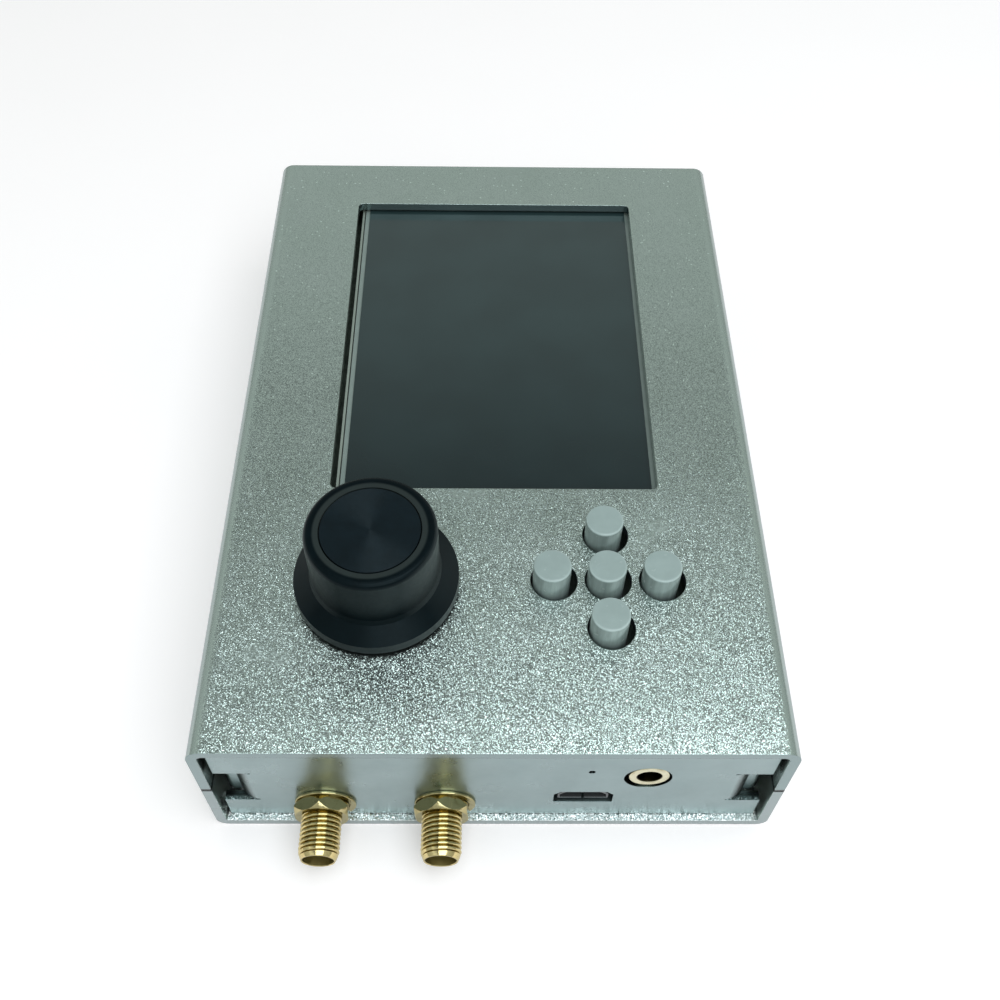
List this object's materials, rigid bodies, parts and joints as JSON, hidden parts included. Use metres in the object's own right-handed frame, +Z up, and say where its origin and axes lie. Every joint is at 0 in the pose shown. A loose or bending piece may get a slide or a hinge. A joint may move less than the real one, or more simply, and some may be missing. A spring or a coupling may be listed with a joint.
{
  "type": "software-defined radio",
  "caption": "Handheld software-defined radio: flat two-shell aluminium case with a screen, push-button cross, skirted tuning knob and gold coaxial jacks.",
  "frame": {"origin": "middle of the case's underside", "axes": "+Z up out of the screen face, +X to the right as the screen is read, the end with the two clock jacks faces -Y"},
  "size_m": [0.085, 0.1408, 0.0414],
  "materials": {
    "case_aluminium": "sand-blasted, clear anodised",
    "panel_aluminium": "smooth satin, clear anodised",
    "gold_plate": "gold-plated brass",
    "knob_anodised": "satin black anodised",
    "cap_grey": "matt light grey",
    "steel": "bright zinc-plated",
    "tinned_steel": "tin-plated sheet",
    "circuit_board": "green solder mask",
    "brass": "turned brass",
    "black_plastic": "moulded",
    "white_plastic": "moulded",
    "battery_foil": "laminated foil",
    "foam": "closed-cell foam",
    "screen_dark": "unlit screen under its polariser",
    "screen_border": "grey border of the screen",
    "ribbon_film": "amber film",
    "clear_plastic": "clear moulded"
  },
  "bodies": {
    "case": {"top_shell": "case_aluminium", "bottom_shell": "case_aluminium", "front_panel": "panel_aluminium", "rear_panel": "panel_aluminium", "side_screws": "steel", "bottom_screws": "steel", "main_board": "circuit_board", "display_board": "circuit_board", "board_standoffs": "brass", "board_spacers": "brass", "board_screws": "steel", "board_headers": "black_plastic", "shield_can": "tinned_steel", "main_board_chips": "black_plastic", "battery": "battery_foil", "battery_pad": "foam", "screen_polariser": "screen_dark", "screen_glass": "screen_border", "backlight_tray": "white_plastic", "screen_tape": "foam", "screen_ribbon": "ribbon_film", "encoder_housing": "steel", "encoder_nut": "steel", "encoder_washer": "steel", "switch_housings": "black_plastic", "clock_in_jack": "gold_plate", "clock_out_jack": "gold_plate", "aerial_jack": "gold_plate", "jack_insulators": "white_plastic", "jack_contacts": "gold_plate", "jack_nuts": "gold_plate", "jack_washers": "gold_plate", "usb_shell": "tinned_steel", "usb_tongue": "black_plastic", "phones_sleeve": "gold_plate", "phones_body": "black_plastic", "microphone": "steel", "card_socket": "steel", "rear_switch_housings": "black_plastic", "light_pipes": "clear_plastic", "indicator_lights": "clear_plastic"},
    "knob_push": {"encoder_plunger": "black_plastic"},
    "tuning_knob": {"encoder_shaft": "steel", "knob": "knob_anodised", "knob_disc": "knob_anodised", "knob_grub_screw": "steel"},
    "button_up": {"cap_up": "cap_grey", "plunger_up": "white_plastic"},
    "button_down": {"cap_down": "cap_grey", "plunger_down": "white_plastic"},
    "button_left": {"cap_left": "cap_grey", "plunger_left": "white_plastic"},
    "button_right": {"cap_right": "cap_grey", "plunger_right": "white_plastic"},
    "button_centre": {"cap_centre": "cap_grey", "plunger_centre": "white_plastic"},
    "reset": {"reset_button": "black_plastic"},
    "service": {"service_button": "black_plastic"}
  },
  "joints": [
    {"name": "knob_press", "type": "slide", "parent": "case", "child": "knob_push", "axis": [0, 0, -1], "range_m": [0, 0.0005], "stiffness_N_per_m": 8000},
    {"name": "knob_turn", "type": "hinge", "parent": "knob_push", "child": "tuning_knob", "pos_m": [-0.0175, -0.0354, 0.034], "axis": [0, 0, 1], "continuous": true},
    {"name": "up_press", "type": "slide", "parent": "case", "child": "button_up", "axis": [0, 0, -1], "range_m": [0, 0.00025], "stiffness_N_per_m": 6400},
    {"name": "down_press", "type": "slide", "parent": "case", "child": "button_down", "axis": [0, 0, -1], "range_m": [0, 0.00025], "stiffness_N_per_m": 6400},
    {"name": "left_press", "type": "slide", "parent": "case", "child": "button_left", "axis": [0, 0, -1], "range_m": [0, 0.00025], "stiffness_N_per_m": 6400},
    {"name": "right_press", "type": "slide", "parent": "case", "child": "button_right", "axis": [0, 0, -1], "range_m": [0, 0.00025], "stiffness_N_per_m": 6400},
    {"name": "centre_press", "type": "slide", "parent": "case", "child": "button_centre", "axis": [0, 0, -1], "range_m": [0, 0.00025], "stiffness_N_per_m": 6400},
    {"name": "reset_press", "type": "slide", "parent": "case", "child": "reset", "axis": [0, -1, 0], "range_m": [0, 0.00025], "stiffness_N_per_m": 6400},
    {"name": "service_press", "type": "slide", "parent": "case", "child": "service", "axis": [0, -1, 0], "range_m": [0, 0.00025], "stiffness_N_per_m": 6400}
  ]
}
